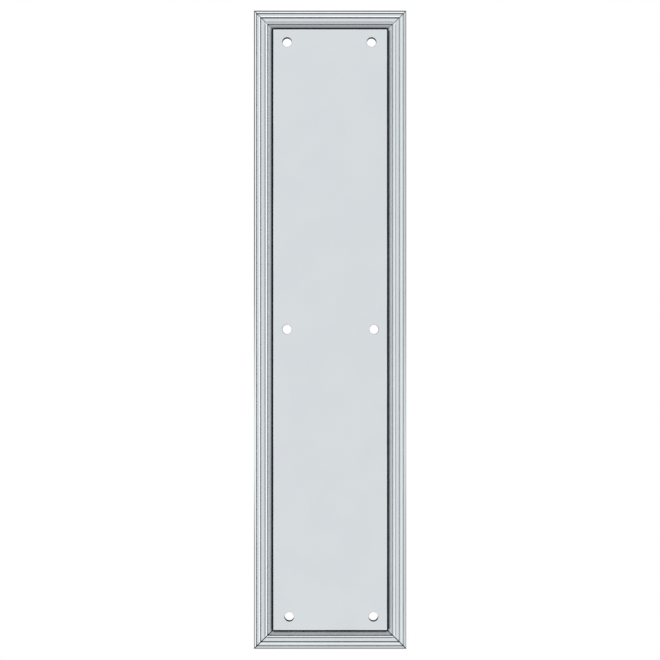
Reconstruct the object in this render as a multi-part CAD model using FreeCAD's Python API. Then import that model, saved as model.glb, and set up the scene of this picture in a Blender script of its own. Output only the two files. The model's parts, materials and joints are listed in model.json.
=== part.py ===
"""Door finger plate: a flat drilled panel edged with four mitred lengths of moulding.

Seen from the front, +X is right, +Z is up and the moulded side faces -Y. The back of the plate, which lies
against the door, is the plane y = 0, and the origin is the middle of that back. Lengths are in millimetres.

The panel is milled down all round its front edge, which leaves a thin lip at the back. Each moulding has a
rebate that laps over the lip, so panel and mouldings finish flush behind and are soldered together there.
The moulding stops short of the raised middle of the panel, and the slot between them reads as a dark line.
"""

import FreeCAD
import Part
import math
import os

Vector = FreeCAD.Vector

# Two places closer than this count as one, where edges are picked out by where they lie.
same_place = 0.0001

# Overall size of the plate, over the outer edges of the mouldings.
overall_width = 91.0
overall_length = 381.0
corner_radius = 0.3

# The panel: a thin lip round the edge, which the mouldings lap over, and a raised field inside it.
lip_thickness = 1.1
field_rise = 2.9
field_edge_break = 0.2

# How a moulding sits on the panel.
lap_width = 3.2
lip_clearance = 0.2
shadow_slot_width = 0.65

# Members of the moulding from its outer edge inward. Each starts at the height where the one before it ends,
# except the ledge and the fillet, which lie lower by their drops.
outer_side_height = 1.5
nosing_width = 1.6
nosing_rise = 0.4
ledge_drop = 0.4
ledge_width = 1.15
ledge_cove_width = 0.8
ledge_cove_rise = 0.5
fillet_drop = 0.2
fillet_width = 2.0
slope_width = 0.35
slope_drop = 0.3
cavetto_width = 1.5
cavetto_rise = 1.4
crest_step = 0.2
bevel_width = 1.4
bevel_fall = 0.85
foot_round_width = 0.75

# The fine V-shaped grooves that part one member from the next.
quirk_width = 0.5
quirk_depth = 0.55

# Each corner is cut at 45 degrees, and the two cut faces stand this far apart.
mitre_gap = 0.16

# Screw holes: a row of two near the top, one at half height and one near the bottom. Insets are measured from
# the plate's edges, before the rows are shifted by a hair upwards and sideways, as they are on the plate itself.
hole_diameter = 5.6
hole_edge_break = 0.15
rows_shift_up = 0.2
end_row_inset = 19.45
top_row_side_inset = 20.35
top_row_shift = -0.5
middle_row_side_inset = 19.55
middle_row_shift = 0.2
bottom_row_side_inset = 20.45
bottom_row_shift = 0.7

# Sizes that follow from the ones above.
moulding_width = (
    nosing_width
    + ledge_width
    + ledge_cove_width
    + fillet_width
    + slope_width
    + cavetto_width
    + bevel_width
    + foot_round_width
    + 3 * quirk_width
)
ledge_height = outer_side_height + nosing_rise - ledge_drop
fillet_height = ledge_height + ledge_cove_rise - fillet_drop
crest_height = fillet_height - slope_drop + cavetto_rise + crest_step
panel_thickness = lip_thickness + field_rise


def straight(start, end):
    return Part.LineSegment(start, end).toShape()


def arc_leaving_level(start, end):
    """Circular arc from start to end that is level, parallel to the door, where it leaves start."""
    run = end.x - start.x
    rise = end.y - start.y
    radius = (run * run + rise * rise) / (2 * rise)
    half_turn = math.atan(rise / run)
    across = start.x + radius * math.sin(half_turn)
    up = start.y + radius * (1 - math.cos(half_turn))
    return Part.Arc(start, Vector(across, up, 0), end).toShape()


def arc_leaving_upright(start, end):
    """Circular arc from start to end that is upright, square to the door, where it leaves start."""
    run = end.x - start.x
    rise = end.y - start.y
    radius = (run * run + rise * rise) / (2 * run)
    half_turn = math.atan(run / rise)
    across = start.x + radius * (1 - math.cos(half_turn))
    up = start.y + radius * math.sin(half_turn)
    return Part.Arc(start, Vector(across, up, 0), end).toShape()


def quirk(start, end_height):
    """Edges of a V-shaped groove that begins at start and ends at end_height, and the point where it ends."""
    bottom_height = min(start.y, end_height) - quirk_depth
    bottom = Vector(start.x + quirk_width / 2, bottom_height, 0)
    end = Vector(start.x + quirk_width, end_height, 0)
    return [straight(start, bottom), straight(bottom, end)], end


def moulding_section():
    """The moulding's cross section as a face, with x across its width and y its height from the door."""
    outer_foot = Vector(0, 0, 0)
    outer_top = Vector(0, outer_side_height, 0)
    nosing_top = outer_top + Vector(nosing_width, nosing_rise, 0)
    first_quirk, ledge_start = quirk(nosing_top, ledge_height)
    ledge_end = ledge_start + Vector(ledge_width, 0, 0)
    cove_top = ledge_end + Vector(ledge_cove_width, ledge_cove_rise, 0)
    second_quirk, fillet_start = quirk(cove_top, fillet_height)
    fillet_end = fillet_start + Vector(fillet_width, 0, 0)
    cavetto_foot = fillet_end + Vector(slope_width, -slope_drop, 0)
    cavetto_top = cavetto_foot + Vector(cavetto_width, cavetto_rise, 0)
    third_quirk, crest = quirk(cavetto_top, crest_height)
    bevel_end = crest + Vector(bevel_width, -bevel_fall, 0)
    inner_foot = Vector(moulding_width, lip_thickness, 0)
    rebate_roof = Vector(moulding_width - lap_width, lip_thickness, 0)
    rebate_foot = Vector(moulding_width - lap_width, 0, 0)

    edges = [
        straight(outer_foot, outer_top),
        arc_leaving_level(nosing_top, outer_top),
        *first_quirk,
        straight(ledge_start, ledge_end),
        arc_leaving_level(ledge_end, cove_top),
        *second_quirk,
        straight(fillet_start, fillet_end),
        straight(fillet_end, cavetto_foot),
        arc_leaving_level(cavetto_foot, cavetto_top),
        *third_quirk,
        straight(crest, bevel_end),
        arc_leaving_upright(inner_foot, bevel_end),
        straight(inner_foot, rebate_roof),
        straight(rebate_roof, rebate_foot),
        straight(rebate_foot, outer_foot),
    ]
    return Part.Face(Part.Wire(Part.__sortEdges__(edges)))


def mitred_moulding(outer_length, distance_out):
    """The moulding along the bottom of a frame whose outer edge lies distance_out below the origin."""
    section = moulding_section()
    # The section's x runs up the plate, its y runs out from the door, and it is extruded along X.
    section.Placement = FreeCAD.Placement(FreeCAD.Matrix(
        0, 0, 1, -outer_length / 2,
        0, -1, 0, 0,
        1, 0, 0, -distance_out,
        0, 0, 0, 1,
    ))
    bar = section.extrude(Vector(outer_length, 0, 0))

    half_outer = outer_length / 2 - mitre_gap / math.sqrt(2)
    half_inner = half_outer - moulding_width
    inner_edge = moulding_width - distance_out
    plan = Part.makePolygon([
        Vector(-half_outer, 0, -distance_out),
        Vector(half_outer, 0, -distance_out),
        Vector(half_inner, 0, inner_edge),
        Vector(-half_inner, 0, inner_edge),
        Vector(-half_outer, 0, -distance_out),
    ])
    return bar.common(Part.Face(plan).extrude(Vector(0, -crest_height, 0)))


def slab(width, length, thickness):
    """Rectangular slab that stands on the back plane, centred on the origin."""
    corner = Vector(-width / 2, -thickness, -length / 2)
    return Part.makeBox(width, thickness, length, corner)


def edges_across(shape):
    """The edges of a shape that run square to the door."""
    return [edge for edge in shape.Edges if edge.Length - edge.BoundBox.YLength < same_place]


def edges_in_front(shape, kind):
    """The edges of a shape that lie in its front face and are of the given kind of curve."""
    front = shape.BoundBox.YMin
    level = [edge for edge in shape.Edges if edge.BoundBox.YMax - front < same_place]
    return [edge for edge in level if isinstance(edge.Curve, kind)]


def mouldings():
    """The four mouldings by name: each is the bottom one turned about the middle of the plate."""
    half_width = overall_width / 2
    half_length = overall_length / 2
    sides = (
        ("moulding_bottom", overall_width, half_length, 0),
        ("moulding_left", overall_length, half_width, 90),
        ("moulding_top", overall_width, half_length, 180),
        ("moulding_right", overall_length, half_width, 270),
    )
    outline = slab(overall_width, overall_length, crest_height)
    outline = outline.makeFillet(corner_radius, edges_across(outline))
    pieces = {}
    for name, outer_length, distance_out, turn in sides:
        piece = mitred_moulding(outer_length, distance_out)
        piece.rotate(Vector(0, 0, 0), Vector(0, 1, 0), turn)
        pieces[name] = piece.common(outline).removeSplitter()
    return pieces


def panel():
    """The flat panel with its thin lip, raised field and screw holes."""
    lip_inset = moulding_width - lap_width + lip_clearance
    field_inset = moulding_width + shadow_slot_width
    lip = slab(overall_width - 2 * lip_inset, overall_length - 2 * lip_inset, lip_thickness)
    field = slab(overall_width - 2 * field_inset, overall_length - 2 * field_inset, panel_thickness)
    body = lip.fuse(field).removeSplitter()
    body = body.makeChamfer(field_edge_break, edges_in_front(body, Part.Line))

    end_row = overall_length / 2 - end_row_inset
    hole_rows = (
        (end_row, top_row_side_inset, top_row_shift),
        (0, middle_row_side_inset, middle_row_shift),
        (-end_row, bottom_row_side_inset, bottom_row_shift),
    )
    for height, side_inset, shift in hole_rows:
        for side in (-1, 1):
            across = shift + side * (overall_width / 2 - side_inset)
            back = Vector(across, 0, height + rows_shift_up)
            drill = Part.makeCylinder(hole_diameter / 2, panel_thickness, back, Vector(0, -1, 0))
            body = body.cut(drill)
    return body.makeChamfer(hole_edge_break, edges_in_front(body, Part.Circle))


def main():
    os.makedirs("parts", exist_ok=True)
    pieces = mouldings()
    pieces["panel"] = panel()
    for name, shape in pieces.items():
        box = shape.BoundBox
        print(
            f"{name}: valid {shape.isValid()}, solids {len(shape.Solids)}, "
            f"volume {shape.Volume:.1f}, x {box.XMin:.2f} to {box.XMax:.2f}, "
            f"y {box.YMin:.2f} to {box.YMax:.2f}, z {box.ZMin:.2f} to {box.ZMax:.2f}"
        )
        shape.exportStep(f"parts/{name}.step")


main()
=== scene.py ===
# %% [markdown]
# # A door finger plate in chromed brass
#
# A finger plate is screwed to the push side of a door and keeps hands off the paint. This one is a flat
# drilled panel inside a border of moulding, mitred at the corners like a picture frame. Both are chromed.
#
# Here each of them is modelled again with softly broken edges and finer curves, and then given its metal.

# %% Load the frame
import json
import math

import bmesh
import bpy
from mathutils import Matrix, Vector


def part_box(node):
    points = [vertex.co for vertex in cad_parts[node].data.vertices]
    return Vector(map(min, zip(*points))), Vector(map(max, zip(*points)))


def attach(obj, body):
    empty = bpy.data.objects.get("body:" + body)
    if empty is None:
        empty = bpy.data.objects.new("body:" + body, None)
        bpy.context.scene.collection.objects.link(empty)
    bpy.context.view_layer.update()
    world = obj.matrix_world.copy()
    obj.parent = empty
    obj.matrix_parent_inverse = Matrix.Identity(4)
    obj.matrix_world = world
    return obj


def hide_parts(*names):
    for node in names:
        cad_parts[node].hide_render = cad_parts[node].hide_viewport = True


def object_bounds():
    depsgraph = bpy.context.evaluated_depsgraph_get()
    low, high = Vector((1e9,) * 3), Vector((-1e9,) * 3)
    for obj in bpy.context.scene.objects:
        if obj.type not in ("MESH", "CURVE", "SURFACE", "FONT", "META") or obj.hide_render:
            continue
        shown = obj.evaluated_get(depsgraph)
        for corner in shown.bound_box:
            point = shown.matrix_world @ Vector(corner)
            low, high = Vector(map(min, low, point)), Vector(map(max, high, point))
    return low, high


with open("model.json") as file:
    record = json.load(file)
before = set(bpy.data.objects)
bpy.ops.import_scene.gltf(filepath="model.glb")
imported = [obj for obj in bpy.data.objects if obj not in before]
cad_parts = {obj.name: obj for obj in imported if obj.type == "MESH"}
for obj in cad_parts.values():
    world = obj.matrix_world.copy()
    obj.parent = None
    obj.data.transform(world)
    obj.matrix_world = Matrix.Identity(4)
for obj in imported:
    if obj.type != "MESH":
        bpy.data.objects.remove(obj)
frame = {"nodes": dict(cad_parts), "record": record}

cad_low, cad_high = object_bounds()
print("nodes:", ", ".join(sorted(frame["nodes"])))
print("width, thickness, length in mm:", [round(1000 * side, 1) for side in cad_high - cad_low])

# %% [markdown]
# ## Sizes
#
# Most sizes are read off the frame, so that nothing here can drift away from the construction. The boxes
# of the panel and of one moulding give the outer sizes, and the screw holes are mounts in the record.
# Only the members of the moulding are named one by one, because a box can't tell them. They run from the
# outer edge inward.
#
# One size differs on purpose. The construction leaves 0.16 mm between the sawn ends of two mouldings. On
# the finished plate solder fills that line, so here the ends stand only 0.03 mm apart, and a dark line
# painted on the metal beside them draws the mitre.

# %% Sizes
mm = 0.001
half_width = cad_high.x
half_length = cad_high.z
panel_low, panel_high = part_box("panel")
panel_thickness = -panel_low.y
lip_half_width = panel_high.x
lip_half_length = panel_high.z
side_low, side_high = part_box("moulding_left")
moulding_width = side_high.x - side_low.x

lip_thickness = 1.1 * mm
lap_width = 3.2 * mm
shadow_slot_width = 0.65 * mm
mitre_gap = 0.03 * mm
corner_radius = 0.3 * mm

outer_side_height = 1.5 * mm
nosing_width, nosing_rise = 1.6 * mm, 0.4 * mm
ledge_drop, ledge_width = 0.4 * mm, 1.15 * mm
ledge_cove_width, ledge_cove_rise = 0.8 * mm, 0.5 * mm
fillet_drop, fillet_width = 0.2 * mm, 2.0 * mm
slope_width, slope_drop = 0.35 * mm, 0.3 * mm
cavetto_width, cavetto_rise = 1.5 * mm, 1.4 * mm
crest_step = 0.2 * mm
bevel_width, bevel_fall = 1.4 * mm, 0.85 * mm
foot_round_width = 0.75 * mm
quirk_width, quirk_depth = 0.5 * mm, 0.55 * mm

field_half_width = half_width - moulding_width - shadow_slot_width
field_half_length = half_length - moulding_width - shadow_slot_width
print("moulding", round(moulding_width / mm, 2), "mm wide")
print("panel", round(panel_thickness / mm, 2), "mm thick")

# %% [markdown]
# ## Where the screws go
#
# Six screws hold the plate, in three rows of two. The rows lie a hair off a regular pattern, as they do
# on a plate that was marked out by hand, so the places are taken from the record and not worked out here.

# %% Screw holes from the record
hole_centres = []
for mount in frame["record"]["mounts"]:
    if mount["kind"] == "bolt_pattern":
        middle_x, _, middle_z = mount["pos_m"]
        hole_radius = mount["dims"]["hole_r_mm"] * mm
        half_spacing = mount["dims"]["spacing_x_mm"] * mm / 2
        hole_centres += [Vector((middle_x + side * half_spacing, 0, middle_z)) for side in (-1, 1)]
print(len(hole_centres), "holes of", round(2 * hole_radius / mm, 1), "mm")

# %% [markdown]
# ## The camera
#
# The picture was taken square on, from about 0.9 m away: the far walls of the screw holes just show as
# thin dark crescents, and their width gives that distance. The camera aims a hair left of and below the
# middle of the plate. It comes before the pieces, because it decides how much of a small moulding can be
# seen at all.

# %% Camera
camera_distance = 913 * mm
frame_width = 394.0 * mm
aim_left = 0.09 * mm
aim_down = 0.15 * mm

camera_data = bpy.data.cameras.new("picture camera")
camera_data.lens = camera_data.sensor_width * (camera_distance - outer_side_height) / frame_width
camera = bpy.data.objects.new("picture camera", camera_data)
camera.location = (-aim_left, -camera_distance, -aim_down)
camera.rotation_euler = (math.radians(90), 0, 0)
bpy.context.collection.objects.link(camera)
bpy.context.scene.camera = camera
print("lens", round(camera_data.lens, 1), "mm")

# %% [markdown]
# ## Drawing a section
#
# A moulding is a section carried along a line, just as it is on the real plate, where the strip is milled
# or drawn to its section and then cut to length. The section is drawn like a pen line. A straight stroke
# extrudes the last point and moves the copy. A curved stroke spins the last point round a centre, so
# Blender works out the points of each arc. `across` is measured inward from the plate's outer edge, and
# `out` away from the door.

# %% Pen strokes
arc_steps = 10


def place(across, out):
    """The step in space that goes across the moulding and out from the door, on the bottom moulding."""
    return Vector((0, -out, across))


def stroke(outline, tip, across, out):
    """Draws a straight stroke from the tip of the outline and returns the new tip."""
    new_tip = bmesh.ops.extrude_vert_indiv(outline, verts=[tip])["verts"][0]
    bmesh.ops.translate(outline, verts=[new_tip], vec=place(across, out))
    return new_tip


def sweep(outline, tip, to_centre, turn):
    """Draws an arc from the tip round the centre that lies to_centre away, and returns the new tip."""
    swept = bmesh.ops.spin(
        outline,
        geom=[tip],
        cent=tip.co + to_centre,
        axis=(1, 0, 0),
        dvec=(0, 0, 0),
        angle=turn,
        steps=arc_steps,
        use_duplicate=False,
    )
    return swept["geom_last"][0]


def round_over(outline, tip, run, rise):
    """Draws a convex arc that ends level with the door."""
    radius = (run**2 + rise**2) / (2 * rise)
    return sweep(outline, tip, place(run, rise - radius), -2 * math.atan2(rise, run))


def hollow_up(outline, tip, run, rise):
    """Draws a concave arc that starts level with the door."""
    radius = (run**2 + rise**2) / (2 * rise)
    return sweep(outline, tip, place(0, radius), 2 * math.atan2(rise, run))


def round_down(outline, tip, run, fall):
    """Draws a convex arc that ends upright, square to the door."""
    radius = (run**2 + fall**2) / (2 * run)
    return sweep(outline, tip, place(run - radius, -fall), -2 * math.atan2(run, fall))


def quirk(outline, tip, step=0.0):
    """Draws the V-shaped groove that parts two members, the inner one higher by step."""
    down = quirk_depth - min(step, 0)
    bottom = stroke(outline, tip, quirk_width / 2, -down)
    return stroke(outline, bottom, quirk_width / 2, down + step)


print("arcs drawn in", arc_steps, "steps")

# %% [markdown]
# ## The moulding's section
#
# From the outer edge inward it has a rounded nosing, a flat ledge that curls up, a wide flat fillet, a
# hollow that climbs to the crest, and a bevel that falls to the slot round the panel. Behind, a rebate
# laps over the lip of the panel. Naming each member keeps the drawing readable, and each can be changed
# by itself.

# %% Section


def moulding_section(start):
    """A new bmesh that holds the moulding's section as one face, with its outer foot at start."""
    outline = bmesh.new()
    foot = outline.verts.new(start)
    tip = stroke(outline, foot, 0, outer_side_height)
    tip = round_over(outline, tip, nosing_width, nosing_rise)
    tip = quirk(outline, tip, -ledge_drop)
    tip = stroke(outline, tip, ledge_width, 0)
    tip = hollow_up(outline, tip, ledge_cove_width, ledge_cove_rise)
    tip = quirk(outline, tip, -fillet_drop)
    tip = stroke(outline, tip, fillet_width, 0)
    tip = stroke(outline, tip, slope_width, -slope_drop)
    tip = hollow_up(outline, tip, cavetto_width, cavetto_rise)
    tip = quirk(outline, tip, crest_step)
    tip = stroke(outline, tip, bevel_width, -bevel_fall)
    tip = round_down(outline, tip, foot_round_width, -tip.co.y - lip_thickness)
    tip = stroke(outline, tip, -lap_width, 0)
    tip = stroke(outline, tip, 0, -lip_thickness)
    outline.edges.new((tip, foot))
    bmesh.ops.contextual_create(outline, geom=outline.edges[:])
    return outline


trial = moulding_section((0, 0, 0))
width = max(vert.co.z for vert in trial.verts)
print("section has", len(trial.verts), "points and is", round(width / mm, 2), "mm wide")
trial.free()

# %% [markdown]
# ## Sawing and softening
#
# `bisect_plane` is the mitre saw: it cuts along a plane and throws away the far side. The cut leaves the
# bar open, so the hole is filled. The outer corner of the frame is filed round, with a few narrow flats.
#
# No real edge is perfectly sharp. A bevel a few hundredths of a millimetre wide on every arris is enough
# to catch a line of light, and the Weighted Normal modifier keeps the flats beside it looking flat.

# %% Saw, file and bevel
arris_width = 0.05 * mm
arris_segments = 3
sharp_angle = math.radians(25)
smooth_angle = math.radians(40)
corner_flats = 4


def saw_off(bm, point, outward):
    """Cuts off all that lies beyond the plane through point and closes the cut."""
    every_part = bm.verts[:] + bm.edges[:] + bm.faces[:]
    bmesh.ops.bisect_plane(bm, geom=every_part, plane_co=point, plane_no=outward, clear_outer=True)
    bmesh.ops.holes_fill(bm, edges=[edge for edge in bm.edges if edge.is_boundary])


def bevel_edges(bm, edges, width):
    bmesh.ops.bevel(
        bm,
        geom=edges,
        offset=width,
        offset_type="OFFSET",
        affect="EDGES",
        segments=arris_segments,
        profile=0.5,
        material=-1,
        clamp_overlap=True,
    )


def sharp_edges(bm):
    return [edge for edge in bm.edges if edge.calc_face_angle(0) > sharp_angle]


def finished_piece(bm, name, replaced_node, metals):
    """Turns a bmesh into an object that stands for a node, with smooth curves and flat flats."""
    bmesh.ops.recalc_face_normals(bm, faces=bm.faces[:])
    mesh = bpy.data.meshes.new(name)
    bm.to_mesh(mesh)
    bm.free()
    mesh.shade_smooth()
    mesh.set_sharp_from_angle(angle=smooth_angle)
    for metal in metals:
        mesh.materials.append(metal)
    piece = bpy.data.objects.new(name, mesh)
    bpy.context.collection.objects.link(piece)
    flats = piece.modifiers.new("flats stay flat", "WEIGHTED_NORMAL")
    flats.keep_sharp = True
    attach(piece, "root")
    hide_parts(replaced_node)
    print(name, "has", len(mesh.polygons), "faces")
    return piece


print("arrises", round(arris_width / mm, 3), "mm wide")

# %% [markdown]
# ## Metal, step by step
#
# A shader is a graph of nodes. A few small helpers keep the graphs short to write: `reckon` adds a Math
# node, and `fade` adds a Map Range node that goes smoothly from 1 to 0 as a value grows. All patterns are
# laid out on Object coordinates, which are metres on the plate itself, so they stay with the metal from
# every side.

# %% Node helpers


def feed(tree, socket, value):
    """Sets a socket to a number, or links it to the socket that value is."""
    if isinstance(value, bpy.types.NodeSocket):
        tree.links.new(value, socket)
    else:
        socket.default_value = value


def reckon(tree, operation, *terms):
    node = tree.nodes.new("ShaderNodeMath")
    node.operation = operation
    for socket, term in zip(node.inputs, terms):
        feed(tree, socket, term)
    return node.outputs["Value"]


def fade(tree, value, start, end, full=1.0, rest=0.0):
    """Goes smoothly from full, where value is at or below start, to rest, where it is at or above end."""
    node = tree.nodes.new("ShaderNodeMapRange")
    node.interpolation_type = "SMOOTHSTEP"
    feed(tree, node.inputs["Value"], value)
    node.inputs["From Min"].default_value = start
    node.inputs["From Max"].default_value = end
    node.inputs["To Min"].default_value = full
    node.inputs["To Max"].default_value = rest
    return node.outputs["Result"]


def mix_colours(tree, amount, first, second):
    node = tree.nodes.new("ShaderNodeMix")
    node.data_type = "RGBA"
    feed(tree, node.inputs["Factor"], amount)
    feed(tree, node.inputs["A"], first)
    feed(tree, node.inputs["B"], second)
    return node.outputs["Result"]


def noise(tree, coordinates, scale, detail=2.0):
    node = tree.nodes.new("ShaderNodeTexNoise")
    tree.links.new(coordinates, node.inputs["Vector"])
    node.inputs["Scale"].default_value = scale
    node.inputs["Detail"].default_value = detail
    return node.outputs["Fac"]


print("helpers ready")

# %% [markdown]
# ## Chrome with a satin grain
#
# Chrome plate is a cool, pale metal. Polished along its length on a fine wheel, it keeps a faint grain
# that runs one way, so the grain is noise squeezed thin across the plate and drawn long. A second, larger
# noise clouds the colour and the gloss a little, as handling does. The base colour is what a metal shows
# of a white room.

# %% Satin chrome
chrome = (0.672, 0.708, 0.730, 1)
chrome_cloud = (0.658, 0.694, 0.717, 1)
# A paler chrome, painted into the colour wherever a highlight is painted.
painted_highlight_chrome = (0.930, 0.955, 0.970, 1)
upright_grain = (3200, 3200, 60)
level_grain = (60, 3200, 3200)
cloud_scale = 38
cloud_edges = (0.35, 0.65)
grain_height = 0.0006 * mm
grain_roughness, cloud_roughness = 0.10, 0.02
satin_roughness = 0.30


def principled(tree):
    return next(node for node in tree.nodes if node.type == "BSDF_PRINCIPLED")


def plate_coordinates(tree):
    return tree.nodes.new("ShaderNodeTexCoord").outputs["Object"]


def grain_noise(tree, grain):
    stretch = tree.nodes.new("ShaderNodeMapping")
    stretch.inputs["Scale"].default_value = grain
    tree.links.new(plate_coordinates(tree), stretch.inputs["Vector"])
    return noise(tree, stretch.outputs["Vector"], 1.0, detail=3.0)


def satin_metal(name, grain, roughness, tones=(chrome, chrome_cloud)):
    """A new chrome material, grained along one axis of the plate, and the socket of its plain colour."""
    metal = bpy.data.materials.new(name)
    metal.use_nodes = True
    tree = metal.node_tree
    shader = principled(tree)
    shader.inputs["Metallic"].default_value = 1.0
    fine = grain_noise(tree, grain)
    clouds = noise(tree, plate_coordinates(tree), cloud_scale)
    cloudiness = fade(tree, clouds, *cloud_edges, full=0.0, rest=1.0)
    grained = reckon(tree, "MULTIPLY_ADD", fine, grain_roughness, roughness - grain_roughness / 2)
    clouded = reckon(tree, "MULTIPLY_ADD", cloudiness, cloud_roughness, grained)
    tree.links.new(clouded, shader.inputs["Roughness"])
    bump = tree.nodes.new("ShaderNodeBump")
    bump.inputs["Strength"].default_value = 1.0
    bump.inputs["Distance"].default_value = grain_height
    tree.links.new(fine, bump.inputs["Height"])
    tree.links.new(bump.outputs["Normal"], shader.inputs["Normal"])
    colour = mix_colours(tree, cloudiness, *tones)
    tree.links.new(colour, shader.inputs["Base Color"])
    return metal, colour


field_metal, _ = satin_metal("satin chrome, upright grain", upright_grain, satin_roughness)
print("made", field_metal.name)

# %% [markdown]
# ## Painted shade in the low places, painted highlights on the high ones
#
# Dark lines of painted shade draw the moulding's lines: beside the three quirks, on the slope at the
# fillet's edge, along the outer arris and down the bevel towards the slot. A dark line is drawn in the
# mitres too. Pale lines of painted highlight lie on the nosing, at the top of the ledge's cove and in the
# hollow.
#
# The pattern needs only one measure, how far a point lies in from the plate's outer edge, and that is the
# smaller of its distances to the side and to the end. In the picture the same line is stronger on one side
# than on another, so each side has its own entry in a small table, chosen by trial against the picture.
# Much of the difference between the sides comes from how the light falls on each, and it is painted in
# with the rest. The arris of the long sides is left palest a little below the middle, a painted highlight.

# %% Where painted shade and highlights lie
# Near black, painted into the colour as shade on the moulding and in the slot, and as the mitres' dark
# line.
painted_shade_and_seam = (0.020, 0.023, 0.026, 1)
soft_edge = 0.14 * mm
first_quirk = nosing_width + quirk_width / 2
second_quirk = first_quirk + quirk_width + ledge_width + ledge_cove_width
slope = second_quirk + (quirk_width + slope_width) / 2 + fillet_width
third_quirk = slope + (slope_width + quirk_width) / 2 + cavetto_width
hollow_middle = third_quirk - (quirk_width + cavetto_width) / 2
bevel_top = third_quirk + quirk_width / 2
# Heights at which the painted highlight along the arris begins, is strongest, and falls to a smaller share.
highlight_from, highlight_peak, highlight_to = 40 * mm, -72 * mm, -130 * mm
# How wide the dark line painted along the mitres is, and below, how dark it is at the top and at the foot.
mitre_line = (0.26 * mm, 0.56 * mm)
top_mitre_dark, bottom_mitre_dark = 0.64, 1.00

# Most entries are strengths from 0 to 1. The reach of the arris's painted shade is in millimetres, and the
# next entry is the share of it taken off as a painted highlight. Each line, dark or pale, has its
# strength, how many millimetres further in than its member it lies, and its width in millimetres. The
# bevel has its painted shade at the crest, where it begins to darken, and its painted shade at the slot.
# The quirks' strengths are of painted highlights.
painted_light_by_side = {
    "left": {
        "arris_shade": 0.93, "reach": 0.54, "arris_highlight": 0.80,
        "nosing": 0.00, "hollow": 0.06, "bevel": (0.18, 9.4, 0.98), "quirk_highlights": (0.80, 0.75, 0.70),
        "lines": ((0.94, -0.42, 0.38), (1.00, -0.38, 0.42), (0.40, -0.50, 0.38), (0.98, -0.46, 0.42)),
        "highlights": ((0.95, -0.04, 0.46), (1.00, -0.38, 0.46), (0.52, -0.10, 0.46)),
    },
    "right": {
        "arris_shade": 0.38, "reach": 0.75, "arris_highlight": 1.00,
        "nosing": 0.12, "hollow": 0.00, "bevel": (0.32, 8.8, 0.67), "quirk_highlights": (0.20, 0.15, 0.45),
        "lines": ((0.00, 0.00, 0.38), (0.16, -0.34, 0.38), (0.30, -0.50, 0.44), (0.58, -0.42, 0.38)),
        "highlights": ((0.00, 0.00, 0.46), (0.45, -0.74, 0.46), (1.00, -0.58, 0.50)),
    },
    "top": {
        "arris_shade": 0.96, "reach": 0.68, "arris_highlight": 0.00,
        "nosing": 0.00, "hollow": 0.34, "bevel": (0.40, 9.3, 0.96), "quirk_highlights": (0.00, 0.00, 0.00),
        "lines": ((0.62, 0.10, 0.38), (1.00, 0.22, 0.46), (0.10, 0.00, 0.38), (0.22, 0.00, 0.38)),
        "highlights": ((0.55, 0.17, 0.46), (1.00, 0.00, 0.48), (0.00, 0.00, 0.46)),
    },
    "bottom": {
        "arris_shade": 0.68, "reach": 0.62, "arris_highlight": 0.00,
        "nosing": 0.12, "hollow": 0.00, "bevel": (0.60, 9.95, 1.00), "quirk_highlights": (0.00, 0.00, 0.50),
        "lines": ((0.26, 0.20, 0.38), (0.70, 0.16, 0.38), (0.66, 0.00, 0.38), (1.00, -0.45, 0.66)),
        "highlights": ((0.00, 0.00, 0.46), (0.90, -0.32, 0.46), (1.00, -0.06, 0.46)),
    },
}
# Where the lines of painted shade lie and, below them, the painted highlights, in from the outer edge.
lines = (first_quirk, second_quirk, slope, third_quirk)
highlight_lines = (nosing_width - 0.6 * mm, second_quirk - quirk_width / 2 - 0.35 * mm, hollow_middle)
print("lines at", [round(line / mm, 2) for line in lines], "mm in from the edge")

# %% [markdown]
# ## From lines to masks
#
# A mask is a number at each point of the metal, from 0 for none to 1 for full. Each line of painted shade
# and each painted highlight is a mask of its own. Where several overlap, the strongest counts, so that
# lines of painted shade that meet get no darker than one.

# %% Masks
# Below the lowest of those heights, the painted highlight on the arris keeps this share of its strength.
highlight_share_below = 0.3


def distances_in(tree, position):
    """How far a point lies in from the plate's side, and from its end."""
    from_side = reckon(tree, "SUBTRACT", half_width, reckon(tree, "ABSOLUTE", position.outputs["X"]))
    from_end = reckon(tree, "SUBTRACT", half_length, reckon(tree, "ABSOLUTE", position.outputs["Z"]))
    return from_side, from_end


def stripe(tree, inward, middle, width, strength):
    """A soft-edged stripe that runs round the frame, with its middle that far in."""
    away = reckon(tree, "ABSOLUTE", reckon(tree, "SUBTRACT", inward, middle))
    return fade(tree, away, (width - soft_edge) / 2, (width + soft_edge) / 2, full=strength)


def arris_shade_left(tree, height, arris_highlight):
    """How much of the painted shade along the outer arris is kept, where a painted highlight takes that
    share of it away.
    """
    above = fade(tree, height, highlight_peak, highlight_from, full=arris_highlight)
    below = fade(tree, height, highlight_to, highlight_peak, full=highlight_share_below, rest=1.0)
    return reckon(tree, "SUBTRACT", 1.0, reckon(tree, "MULTIPLY", above, below))


def bevel_painted_shade(tree, inward, at_crest, darkens_from, at_slot):
    """The painted shade on the bevel, which is nearly black at the slot."""
    on_bevel = fade(tree, inward, bevel_top - soft_edge / 2, bevel_top, full=0.0, rest=1.0)
    towards_slot = fade(tree, inward, darkens_from * mm, moulding_width, full=at_crest, rest=at_slot)
    return reckon(tree, "MULTIPLY", on_bevel, towards_slot)


def mitre_dark_line(tree, from_side, from_end, height):
    """The dark line painted in the mitres, darker at the foot of the plate."""
    off_mitre = reckon(tree, "ABSOLUTE", reckon(tree, "SUBTRACT", from_side, from_end))
    low, high = -half_length / 2, half_length / 2
    strength = fade(tree, height, low, high, full=bottom_mitre_dark, rest=top_mitre_dark)
    return reckon(tree, "MULTIPLY", strength, fade(tree, off_mitre, *mitre_line))


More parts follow.
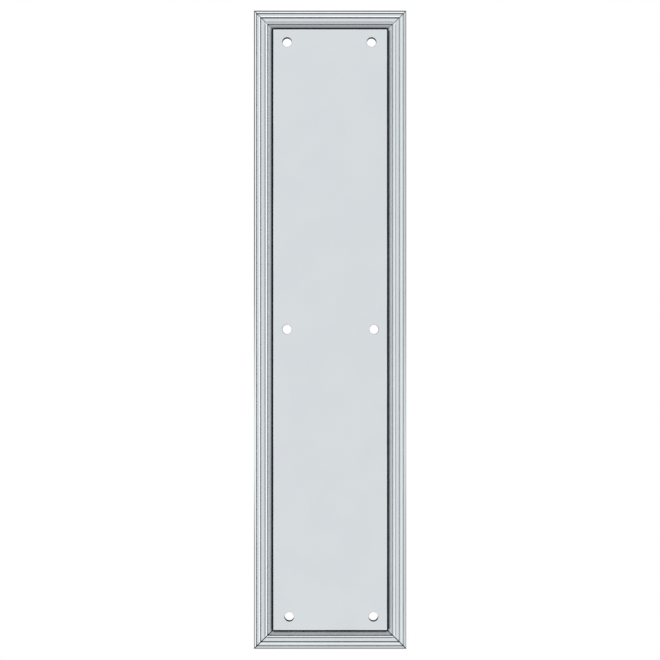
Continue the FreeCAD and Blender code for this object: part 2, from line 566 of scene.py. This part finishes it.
def strongest_of(tree, masks):
    strongest = masks[0]
    for mask in masks[1:]:
        strongest = reckon(tree, "MAXIMUM", strongest, mask)
    return strongest


# The painted highlight on the arris is strongest at this height.
print("film rubbed thinnest", round(highlight_peak / mm), "mm from the middle of the plate")

# %% [markdown]
# ## The metal of one side
#
# Each side gets a material of its own, because its grain follows its length and its painted shade and
# highlights follow its entry in the table. The painted highlights are laid on the chrome first and the
# painted shade over them. Both stay on the moulded front. Only the mitre's dark line runs on down between
# the sawn ends, and the back is plain.

# %% Moulding metal
polished_roughness = 0.22
front_members, behind_members = -0.9 * mm, -0.4 * mm
mitre_in_full, mitre_ends = -0.3 * mm, -0.05 * mm


def side_painted_shade(tree, inward, height, here):
    """The painted shade on the front of one side of the frame."""
    reach = here["reach"] * mm
    arris_shade = fade(tree, inward, reach - soft_edge / 4, reach + soft_edge / 2, full=here["arris_shade"])
    nosing = fade(tree, inward, nosing_width, nosing_width + soft_edge, full=here["nosing"])
    arris_shade_kept = arris_shade_left(tree, height, here["arris_highlight"])
    masks = [
        reckon(tree, "MULTIPLY", strongest_of(tree, [arris_shade, nosing]), arris_shade_kept),
        stripe(tree, inward, hollow_middle, cavetto_width, here["hollow"]),
        bevel_painted_shade(tree, inward, *here["bevel"]),
    ]
    for line, (strength, further_in, width) in zip(lines, here["lines"]):
        masks.append(stripe(tree, inward, line + further_in * mm, width * mm, strength))
    return strongest_of(tree, masks)


def side_painted_highlights(tree, inward, here):
    """The painted highlights on the front of one side, in its lines and in its quirks."""
    masks = [
        stripe(tree, inward, line + further_in * mm, width * mm, strength)
        for line, (strength, further_in, width) in zip(highlight_lines, here["highlights"])
    ]
    for line, strength in zip((first_quirk, second_quirk, third_quirk), here["quirk_highlights"]):
        masks.append(stripe(tree, inward, line, quirk_width, strength))
    return strongest_of(tree, masks)


def moulding_metal(side, grain):
    """Polished chrome for one side of the frame, with the painted shade, mitre line and painted highlights
    of that side.
    """
    metal, colour = satin_metal("polished chrome, " + side, grain, polished_roughness)
    tree = metal.node_tree
    position = tree.nodes.new("ShaderNodeSeparateXYZ")
    tree.links.new(plate_coordinates(tree), position.inputs["Vector"])
    from_side, from_end = distances_in(tree, position)
    inward = reckon(tree, "MINIMUM", from_side, from_end)
    height, behind = position.outputs["Z"], position.outputs["Y"]
    here = painted_light_by_side[side]

    on_front = fade(tree, behind, front_members, behind_members)
    clear_of_back = fade(tree, behind, mitre_in_full, mitre_ends)
    front_painted_shade = reckon(tree, "MULTIPLY", side_painted_shade(tree, inward, height, here), on_front)
    in_mitre = reckon(tree, "MULTIPLY", mitre_dark_line(tree, from_side, from_end, height), clear_of_back)
    # The painted highlights, on the moulded front only.
    painted_highlight = reckon(tree, "MULTIPLY", side_painted_highlights(tree, inward, here), on_front)

    # Painted highlights first, then the painted shade and the mitres' dark line over them.
    with_highlights = mix_colours(tree, painted_highlight, colour, painted_highlight_chrome)
    shade_painted = mix_colours(tree, strongest_of(tree, [front_painted_shade, in_mitre]), with_highlights, painted_shade_and_seam)
    tree.links.new(shade_painted, principled(tree).inputs["Base Color"])
    return metal


moulding_metals = {
    "left": moulding_metal("left", upright_grain),
    "right": moulding_metal("right", upright_grain),
    "top": moulding_metal("top", level_grain),
    "bottom": moulding_metal("bottom", level_grain),
}
print("made", ", ".join(metal.name for metal in moulding_metals.values()))

# %% [markdown]
# ## The four mouldings
#
# One function makes any of them: it draws the section at the foot of the plate, carries it along X, saws
# both ends at 45 degrees and turns the bar to its side. The frame is the same all round, so nothing else
# changes.

# %% Mouldings


def mitred_moulding(outer_length, distance_out, turn):
    """A bmesh of the moulding whose outer edge lies distance_out from the middle, turned about Y."""
    bm = moulding_section((-outer_length / 2, 0, -distance_out))
    ends = bmesh.ops.extrude_face_region(bm, geom=bm.faces[:])["geom"]
    far_points = [part for part in ends if isinstance(part, bmesh.types.BMVert)]
    bmesh.ops.translate(bm, verts=far_points, vec=(outer_length, 0, 0))
    bmesh.ops.recalc_face_normals(bm, faces=bm.faces[:])
    half_outer = outer_length / 2 - mitre_gap / math.sqrt(2)
    for side in (-1, 1):
        saw_off(bm, (side * half_outer, 0, -distance_out), Vector((side, 0, 1)).normalized())
        file_corner(bm, side, outer_length / 2 - corner_radius, corner_radius - distance_out)
    bevel_edges(bm, sharp_edges(bm), arris_width)
    bmesh.ops.rotate(bm, verts=bm.verts[:], cent=(0, 0, 0), matrix=Matrix.Rotation(turn, 3, "Y"))
    return bm


def file_corner(bm, side, centre_across, centre_up):
    """Files the outer corner round, with flats that touch the corner circle."""
    for flat in range(1, corner_flats + 1):
        angle = math.radians(45) * flat / corner_flats
        outward = Vector((side * math.sin(angle), 0, -math.cos(angle)))
        touch = Vector((side * centre_across, 0, centre_up)) + corner_radius * outward
        saw_off(bm, touch, outward)


quarter_turn = math.radians(90)
sides = (
    ("bottom_rail", "bottom", 2 * half_width, half_length),
    ("left_stile", "left", 2 * half_length, half_width),
    ("top_rail", "top", 2 * half_width, half_length),
    ("right_stile", "right", 2 * half_length, half_width),
)
for turns, (name, side, outer_length, distance_out) in enumerate(sides):
    bm = mitred_moulding(outer_length, distance_out, turns * quarter_turn)
    finished_piece(bm, name, "moulding_" + side, [moulding_metals[side]])

# %% [markdown]
# ## Metal in the panel's slot and bores
#
# The panel is given four finishes. Its field is satin chrome. The slot round the field is a black line in
# the picture, so painted shade thickens towards its floor, which is nearly black. The bores are painted
# near black and matt, as shade, so that the far wall of each hole shows as the thin dark crescent of the
# picture. The broken edge of the field has a painted highlight.

# %% Slot and bore metals
# Depths between which the painted shade in the slot grows, and how dark it is at the floor.
slot_unshaded_above = panel_thickness - 0.4 * mm
slot_black_below = lip_thickness + 0.5 * mm
slot_floor_shade = 0.97
slot_roughness, edge_roughness = 0.35, 0.20
# Near black colours, painted on the bore walls as their shade.
bore_dark = (0.010, 0.011, 0.012, 1)
bore_pale = (0.030, 0.033, 0.036, 1)
patch_scale = 900
bore_roughness, patch_roughness = 0.75, 0.20


def slot_metal():
    """Chrome whose painted shade goes from none at the front of the slot to nearly black at its floor."""
    metal, colour = satin_metal("filmed chrome in the slot", upright_grain, slot_roughness)
    tree = metal.node_tree
    position = tree.nodes.new("ShaderNodeSeparateXYZ")
    tree.links.new(plate_coordinates(tree), position.inputs["Vector"])
    behind = position.outputs["Y"]
    # thickness is the share of painted shade: none near the front of the slot, most at its floor.
    thickness = fade(tree, behind, -slot_unshaded_above, -slot_black_below, full=0.0, rest=slot_floor_shade)
    tree.links.new(mix_colours(tree, thickness, colour, painted_shade_and_seam), principled(tree).inputs["Base Color"])
    return metal


def bore_metal():
    """Near black matt colour, painted shade on the walls of the bores, that varies in patches."""
    metal = bpy.data.materials.new("drilled metal, dark")
    metal.use_nodes = True
    tree = metal.node_tree
    shader = principled(tree)
    shader.inputs["Specular IOR Level"].default_value = 0.0
    patches = noise(tree, plate_coordinates(tree), patch_scale)
    roughness = reckon(tree, "MULTIPLY_ADD", patches, patch_roughness, bore_roughness)
    tree.links.new(mix_colours(tree, patches, bore_dark, bore_pale), shader.inputs["Base Color"])
    tree.links.new(roughness, shader.inputs["Roughness"])
    return metal


# The broken edge of the field is coloured pale as a painted highlight.
edge_highlight_tones = (painted_highlight_chrome, chrome)
edge_highlight_metal, _ = satin_metal("chrome edge with painted highlight", upright_grain, edge_roughness, tones=edge_highlight_tones)
panel_metals = [field_metal, slot_metal(), bore_metal(), edge_highlight_metal]
print("made", ", ".join(metal.name for metal in panel_metals))

# %% [markdown]
# ## Loops of edges
#
# Every outline on the panel is a closed loop of edges: the rectangles of the lip and the field, and the
# six circles. A loop that is raised leaves a wall behind it, so three helpers are enough to draw the
# whole panel.

# %% Loops of edges
hole_facets = 64
facing_plate = Matrix.Rotation(quarter_turn, 4, "X")


def circle_edges(bm, centre):
    ring = bmesh.ops.create_circle(
        bm,
        cap_ends=False,
        segments=hole_facets,
        radius=hole_radius,
        matrix=Matrix.Translation(centre) @ facing_plate,
    )
    return list({edge for vert in ring["verts"] for edge in vert.link_edges})


def rectangle_edges(bm, half_across, half_up):
    matrix = facing_plate @ Matrix.Diagonal((half_across, half_up, 1, 1))
    sheet = bmesh.ops.create_grid(bm, x_segments=1, y_segments=1, size=1, matrix=matrix)
    edges = list({edge for vert in sheet["verts"] for edge in vert.link_edges})
    bmesh.ops.delete(bm, geom=bm.faces[:], context="FACES_ONLY")
    return edges


def raise_edges(bm, edges, out, shrink=(1, 1, 1)):
    """Extrudes a loop of edges out from the door, or in towards the middle, and returns the new loop."""
    made = bmesh.ops.extrude_edge_only(bm, edges=edges)["geom"]
    points = [part for part in made if isinstance(part, bmesh.types.BMVert)]
    bmesh.ops.translate(bm, verts=points, vec=(0, -out, 0))
    bmesh.ops.scale(bm, verts=points, vec=shrink)
    return [part for part in made if isinstance(part, bmesh.types.BMEdge)]


print("each hole is drawn with", hole_facets, "facets")

# %% [markdown]
# ## The drilled panel
#
# The panel is built up like a contour model. A sheet with six holes is filled at the back. Its outline is
# then extruded in steps: up by the lip's thickness, in to the raised field, and up again to the front.
# The circles are extruded straight through to become the bores, and a second fill closes the front round
# them. The rims of the holes and of the field are then broken with a narrow bevel.

# %% Panel
same_place = 0.01 * mm
field_edge_break = 0.2 * mm
hole_edge_break = 0.12 * mm


def drilled_panel():
    bm = bmesh.new()
    outline = rectangle_edges(bm, lip_half_width, lip_half_length)
    holes = [edge for centre in hole_centres for edge in circle_edges(bm, centre)]
    bmesh.ops.triangle_fill(bm, use_beauty=True, use_dissolve=False, edges=outline + holes)
    lip_top = raise_edges(bm, outline, lip_thickness)
    to_field = (field_half_width / lip_half_width, 1, field_half_length / lip_half_length)
    field_foot = raise_edges(bm, lip_top, 0, to_field)
    field_rim = raise_edges(bm, field_foot, panel_thickness - lip_thickness)
    hole_rims = raise_edges(bm, holes, panel_thickness)
    bmesh.ops.triangle_fill(bm, use_beauty=True, use_dissolve=False, edges=field_rim + hole_rims)
    bmesh.ops.recalc_face_normals(bm, faces=bm.faces[:])
    bevel_edges(bm, hole_rims, hole_edge_break)
    front_rim = [edge for edge in sharp_edges(bm) if lies_on_front_rim(edge)]
    bevel_edges(bm, front_rim, field_edge_break)
    return bm


def lies_on_front_rim(edge):
    """Whether an edge runs round the raised field, in the panel's front face."""
    on_front = all(abs(vert.co.y + panel_thickness) < same_place for vert in edge.verts)
    end = edge.verts[0].co
    at_side = abs(abs(end.x) - field_half_width) < same_place
    at_end = abs(abs(end.z) - field_half_length) < same_place
    return on_front and (at_side or at_end)


bm = drilled_panel()
print("panel has", len(bm.faces), "faces")

# %% [markdown]
# ## Which face shows which metal
#
# The panel is one piece of metal with four finishes, and a face's place tells which of them it shows.
# What is neither flat, in a bore nor in the slot is the broken edge of the field.

# %% Metals on the panel
bore_reach = 1.05 * hole_radius
flat_angle = math.radians(11.5)


def lies_in_bore(point):
    """Whether a point lies inside a screw hole or on its edge."""
    level = Vector((point.x, 0, point.z))
    return min((level - centre).length for centre in hole_centres) < bore_reach


def panel_metal_index(face):
    """Which of the panel's metals a face shows: 0 the field's, 1 the slot's, 2 a bore's, 3 the edge's."""
    middle = face.calc_center_median()
    flat = abs(face.normal.y) > math.cos(flat_angle)
    in_bore = lies_in_bore(middle)
    if in_bore and not flat:
        return 2
    on_back = middle.y > -lip_thickness / 2
    on_front = middle.y < -panel_thickness + same_place
    if flat and (in_bore or on_back or on_front):
        return 0
    below_field = panel_thickness + middle.y > field_edge_break
    return 1 if below_field else 3


for face in bm.faces:
    face.material_index = panel_metal_index(face)
finished_piece(bm, "drilled_panel", "panel", panel_metals)

# %% [markdown]
# ## Floor and flag
#
# The plate belongs on a door, so it hangs clear of the floor here, and its shadow there is wide and very
# faint. The floor grows paler towards its rim, so that no line shows where it ends. Beside the plate
# stands a grey flag, a sheet that darkens what the metal mirrors. It is there only for that, so it is
# hidden from the camera and throws no shadow on the floor.

# %% Floor and flag
floor_drop = 550 * mm
floor_radius = 1500 * mm
floor_tone, rim_tone = 0.84, 0.98
floor_pales_from = 800 * mm
flag_distance = 1300 * mm
flag_width, flag_height = 1500 * mm, 1800 * mm
flag_stands_forward = 450 * mm
flag_tone = 0.78
paint_roughness, mottle_scale, darker_coat = 0.9, 3.0, 0.98


def grey(tone):
    return (tone, tone, tone, 1)


def painted(name, full_tone):
    """Matt paint whose tone varies very slightly, as a rolled coat does."""
    paint = bpy.data.materials.new(name)
    paint.use_nodes = True
    tree = paint.node_tree
    shader = principled(tree)
    mottle = noise(tree, plate_coordinates(tree), mottle_scale)
    tone = mix_colours(tree, mottle, grey(full_tone), grey(darker_coat * full_tone))
    tree.links.new(tone, shader.inputs["Base Color"])
    shader.inputs["Roughness"].default_value = paint_roughness
    return paint, tone


def paling_floor_paint():
    """Floor paint that grows paler from the middle to the rim."""
    paint, tone = painted("pale floor paint", floor_tone)
    tree = paint.node_tree
    from_middle = tree.nodes.new("ShaderNodeVectorMath")
    from_middle.operation = "DISTANCE"
    from_middle.inputs[1].default_value = (0, 0, -floor_drop)
    tree.links.new(plate_coordinates(tree), from_middle.inputs[0])
    near = fade(tree, from_middle.outputs["Value"], floor_pales_from, floor_radius)
    paling = mix_colours(tree, near, grey(rim_tone), tone)
    tree.links.new(paling, principled(tree).inputs["Base Color"])
    return paint


def stage_sheet(name, bm, paint):
    """Turns a bmesh into a part of the set, which isn't part of the object."""
    mesh = bpy.data.meshes.new(name)
    bm.to_mesh(mesh)
    bm.free()
    mesh.materials.append(paint)
    sheet = bpy.data.objects.new(name, mesh)
    bpy.context.collection.objects.link(sheet)
    return sheet


floor_bm = bmesh.new()
bmesh.ops.create_circle(floor_bm, cap_ends=True, segments=128, radius=floor_radius)
bmesh.ops.translate(floor_bm, verts=floor_bm.verts[:], vec=(0, 0, -floor_drop))
stage_sheet("pale_floor", floor_bm, paling_floor_paint())

flag_bm = bmesh.new()
flag_size = Matrix.Diagonal((flag_height / 2, flag_width / 2, 1, 1))
flag_shape = Matrix.Rotation(quarter_turn, 4, "Y") @ flag_size
flag_forward = flag_width / 2 + flag_stands_forward
flag_place = Matrix.Translation((flag_distance, -flag_forward, flag_height / 2 - floor_drop))
bmesh.ops.create_grid(flag_bm, x_segments=1, y_segments=1, size=1, matrix=flag_place @ flag_shape)
flag_paint, _ = painted("grey flag paint", flag_tone)
flag = stage_sheet("grey_flag", flag_bm, flag_paint)
flag.visible_camera = False
flag.visible_diffuse = False
flag.visible_shadow = False
print("floor", round(floor_drop / mm), "mm below the middle of the plate")

# %% [markdown]
# ## Room and softboxes
#
# Metal has no colour but what it mirrors, so lighting it means deciding what stands round it. The world
# is plain white, which keeps the flat field even and makes the background white. An area lamp adds its
# light to the world behind it, so a softbox shows in the metal as a patch brighter than white. One stands
# on the left and one overhead, and the members that tilt that way catch them. The flag on the right and
# the floor below are a little darker than white, and the members that tilt that way go grey. A narrow
# softbox just behind the flag puts a line of light on the steepest ones.

# %% Room and softboxes
world = bpy.data.worlds.new("white room")
bpy.context.scene.world = world
world.use_nodes = True
background = next(node for node in world.node_tree.nodes if node.type == "BACKGROUND")
background.inputs["Color"].default_value = (1, 1, 1, 1)
background.inputs["Strength"].default_value = 1.0

softbox_distance = 1300 * mm
softbox_length = 2000 * mm
wide, narrow = 2200 * mm, 700 * mm
well_forward, just_forward = -800 * mm, -50 * mm
softbox_brightness = 0.38


def softbox(name, position, aim, width):
    """A large area lamp that shines along aim and adds its brightness to the white behind it."""
    data = bpy.data.lights.new(name, "AREA")
    data.shape = "RECTANGLE"
    data.size = width
    data.size_y = softbox_length
    data.energy = softbox_brightness * math.pi * width * softbox_length
    lamp = bpy.data.objects.new(name, data)
    lamp.location = position
    lamp.rotation_mode = "QUATERNION"
    lamp.rotation_quaternion = Vector(aim).to_track_quat("-Z", "Y")
    lamp.visible_camera = False
    bpy.context.collection.objects.link(lamp)
    return lamp


softbox("left softbox", (-softbox_distance, well_forward, 0), (1, 0, 0), wide)
softbox("overhead softbox", (0, well_forward, softbox_distance), (0, 0, -1), wide)
softbox("right softbox", (softbox_distance, just_forward, 0), (-1, 0, 0), narrow)
bpy.context.scene.view_settings.view_transform = "Standard"
print("three softboxes and a flag set")
